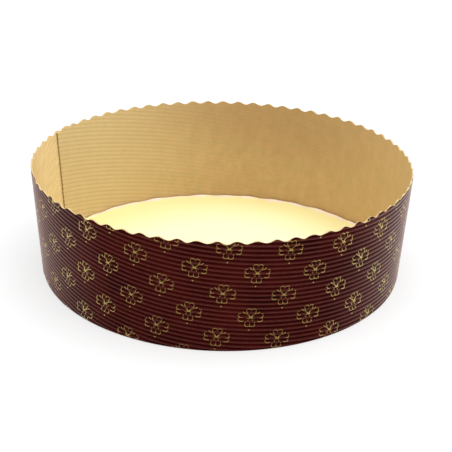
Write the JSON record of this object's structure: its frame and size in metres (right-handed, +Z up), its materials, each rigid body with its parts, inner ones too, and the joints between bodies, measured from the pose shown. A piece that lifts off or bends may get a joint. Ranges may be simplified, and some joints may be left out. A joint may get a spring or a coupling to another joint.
{
  "type": "paper baking mold",
  "caption": "Round paper baking mold with a low flared wall of ribbed board, a scalloped rim, a glued lap seam, a turned-in hem and a flat paper base.",
  "frame": {"origin": "on the standing plane, under the middle of the ring's bounding box", "axes": "+Z up out of the open rim; -Y towards the side that faced the camera; the glued lap is at the back left, between +Y and -X"},
  "size_m": [0.2088, 0.211, 0.062],
  "materials": {
    "printed_board": "satin maroon print on the ribbed outside, plain kraft inside",
    "cream_paper": "matt"
  },
  "bodies": {
    "root": {"side_wall": "printed_board", "base_disc": "cream_paper"}
  },
  "joints": []
}
